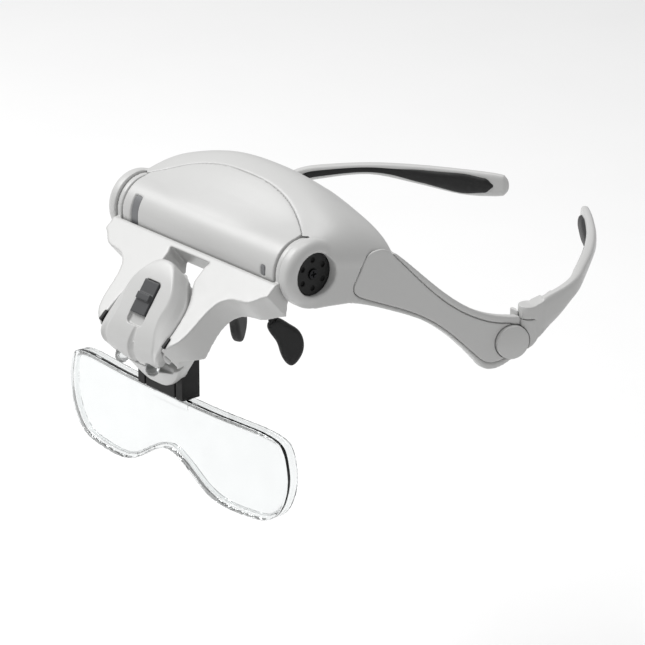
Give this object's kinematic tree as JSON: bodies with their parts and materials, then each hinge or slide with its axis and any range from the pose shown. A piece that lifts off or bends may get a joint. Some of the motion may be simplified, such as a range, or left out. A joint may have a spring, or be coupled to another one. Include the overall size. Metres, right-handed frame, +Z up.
{
  "type": "head visor magnifier",
  "caption": "Head-worn magnifier: brow visor with wings and folding ear pieces, nose pads, and a tilting bracket with an LED lamp and a plug-in two-lobe lens.",
  "frame": {"origin": "nose rest, midway between the two nose pads", "axes": "+X to the wearer's left, +Y back towards the ears, +Z up"},
  "size_m": [0.1514, 0.1867, 0.1048],
  "materials": {
    "shell_plastic": "white injection-moulded ABS, satin",
    "bracket_plastic": "white injection-moulded ABS, satin",
    "black_plastic": "black moulded nylon, fine texture",
    "grey_plastic": "dark grey moulded ABS",
    "mark_plastic": "grey moulded ABS",
    "rubber_black": "soft black thermoplastic rubber",
    "lens_clear": "clear moulded acrylic, polished",
    "led_clear": "clear epoxy LED dome",
    "steel": "zinc-plated steel",
    "cell_steel": "nickel-plated steel cell case",
    "board_green": "glass-epoxy circuit board",
    "contact_brass": "sprung brass strip"
  },
  "bodies": {
    "frame": {"visor_frame": "shell_plastic", "front_cover": "shell_plastic", "index_strip": "mark_plastic", "index_window": "mark_plastic", "left_wing_panel": "shell_plastic", "right_wing_panel": "shell_plastic", "left_lug_cap": "black_plastic", "right_lug_cap": "black_plastic", "pivot_screws": "steel", "nose_bridge": "black_plastic", "left_nose_pad": "rubber_black", "right_nose_pad": "rubber_black", "left_hinge_block": "shell_plastic", "right_hinge_block": "shell_plastic", "left_fold_pin": "steel", "right_fold_pin": "steel"},
    "bracket": {"lens_bracket": "bracket_plastic", "lens_clip": "black_plastic", "lamp_bushes": "black_plastic"},
    "lens": {"lens": "lens_clear"},
    "lamp": {"lamp_front": "bracket_plastic", "lamp_back": "bracket_plastic", "leds": "led_clear", "coin_cells": "cell_steel", "lamp_board": "board_green", "battery_contact": "contact_brass"},
    "switch": {"switch_knob": "grey_plastic"},
    "left_ear": {"left_ear_piece": "shell_plastic", "left_ear_grip": "rubber_black"},
    "right_ear": {"right_ear_piece": "shell_plastic", "right_ear_grip": "rubber_black"},
    "left_button": {"left_release_button": "shell_plastic"},
    "right_button": {"right_release_button": "shell_plastic"}
  },
  "joints": [
    {"name": "bracket_tilt", "type": "hinge", "parent": "frame", "child": "bracket", "pos_m": [0, -0.017, 0.039], "axis": [-1, 0, 0], "range_deg": [-4, 75]},
    {"name": "lens_unplug", "type": "slide", "parent": "bracket", "child": "lens", "axis": [0, 0, -1], "range_m": [0, 0.012]},
    {"name": "lamp_tilt", "type": "hinge", "parent": "bracket", "child": "lamp", "pos_m": [0, -0.0525, 0.013], "axis": [1, 0, 0], "range_deg": [0, 8]},
    {"name": "switch_slide", "type": "slide", "parent": "lamp", "child": "switch", "axis": [0, -0.5708, -0.8211], "range_m": [0, 0.003]},
    {"name": "left_ear_fold", "type": "hinge", "parent": "frame", "child": "left_ear", "pos_m": [0.069, 0.0586, 0.0142], "axis": [0, 0, 1], "range_deg": [0, 80]},
    {"name": "right_ear_fold", "type": "hinge", "parent": "frame", "child": "right_ear", "pos_m": [-0.069, 0.0586, 0.0142], "axis": [0, 0, -1], "range_deg": [0, 56]},
    {"name": "left_button_press", "type": "slide", "parent": "frame", "child": "left_button", "axis": [-0.9563, 0.2924, 0], "range_m": [0, 0.0006], "stiffness_N_per_m": 400},
    {"name": "right_button_press", "type": "slide", "parent": "frame", "child": "right_button", "axis": [0.9563, 0.2924, 0], "range_m": [0, 0.0006], "stiffness_N_per_m": 400}
  ]
}
